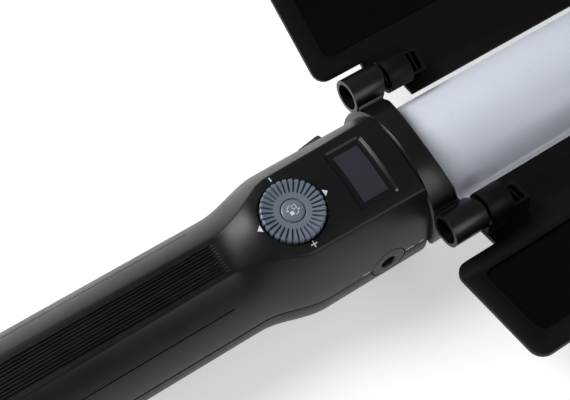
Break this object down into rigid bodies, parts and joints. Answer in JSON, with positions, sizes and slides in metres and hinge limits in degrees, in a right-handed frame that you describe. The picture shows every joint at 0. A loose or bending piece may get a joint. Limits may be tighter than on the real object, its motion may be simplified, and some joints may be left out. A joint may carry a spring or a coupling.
{
  "type": "led light wand",
  "caption": "Hand-held LED light stick: shaped ribbed handle with dial and display, long round diffuser tube, and two hinged barn doors that swing to shade or spread the light.",
  "frame": {"origin": "middle of the length and width, on the plane that the wand lies on with its light side up", "axes": "+X from the handle to the far end of the tube, +Y towards the power slider, +Z the light and control side"},
  "size_m": [0.555, 0.196, 0.0615],
  "materials": {
    "shell_plastic": "satin black moulded plastic",
    "bracket_plastic": "satin black moulded plastic",
    "door_black": "deep black, fine grain",
    "dial_plastic": "satin blue-grey",
    "mark_ink": "printed light grey",
    "display_acrylic": "polished dark",
    "circuit_board": "green solder mask",
    "electronics": "moulded",
    "battery_wrap": "shrink sleeve",
    "brass_insert": "knurled",
    "screw_steel": "plain",
    "diffuser": "milky satin",
    "heatsink": "extruded",
    "led_board": "white solder mask",
    "led_chip": "phosphor",
    "bush_plastic": "plain acetal"
  },
  "bodies": {
    "wand": {"upper_shell": "shell_plastic", "lower_shell": "shell_plastic", "rear_cap": "shell_plastic", "end_cap": "shell_plastic", "dc_jack_ring": "shell_plastic", "tube_socket": "shell_plastic", "rear_bracket": "bracket_plastic", "front_bracket": "bracket_plastic", "rear_thread_insert": "brass_insert", "front_thread_insert": "brass_insert", "shell_screws": "screw_steel", "end_cap_screws": "screw_steel", "hinge_screws": "screw_steel", "hinge_washers": "screw_steel", "panel_marks": "mark_ink", "display_window": "display_acrylic", "display_module": "electronics", "control_board": "circuit_board", "driver_board": "circuit_board", "encoder_body": "electronics", "button_switch": "electronics", "dc_jack_socket": "electronics", "power_switch_body": "electronics", "battery_cells": "battery_wrap", "battery_holder": "electronics", "diffuser_tube": "diffuser", "heatsink_spine": "heatsink", "led_board": "led_board", "led_chips": "led_chip"},
    "dial": {"dial_ring": "dial_plastic"},
    "button": {"mode_button": "dial_plastic"},
    "slider": {"power_slider": "shell_plastic"},
    "left_door": {"left_door_frame": "door_black", "left_door_panel": "door_black", "left_door_bushes": "bush_plastic"},
    "right_door": {"right_door_frame": "door_black", "right_door_panel": "door_black", "right_door_bushes": "bush_plastic"}
  },
  "joints": [
    {"name": "dial_turn", "type": "hinge", "parent": "wand", "child": "dial", "pos_m": [-0.1347, 0, 0.05865], "axis": [0, 0, 1], "continuous": true},
    {"name": "button_press", "type": "slide", "parent": "wand", "child": "button", "axis": [0, 0, -1], "range_m": [0, 0.0008], "stiffness_N_per_m": 1500, "springref_m": -0.0003},
    {"name": "power_slide", "type": "slide", "parent": "wand", "child": "slider", "axis": [1, 0, 0], "range_m": [0, 0.003]},
    {"name": "left_door_hinge", "type": "hinge", "parent": "wand", "child": "left_door", "pos_m": [0, 0.03501, 0.04695], "axis": [1, 0, 0], "range_deg": [-55, 113]},
    {"name": "right_door_hinge", "type": "hinge", "parent": "wand", "child": "right_door", "pos_m": [0, -0.03501, 0.04695], "axis": [-1, 0, 0], "range_deg": [-55, 113]}
  ]
}
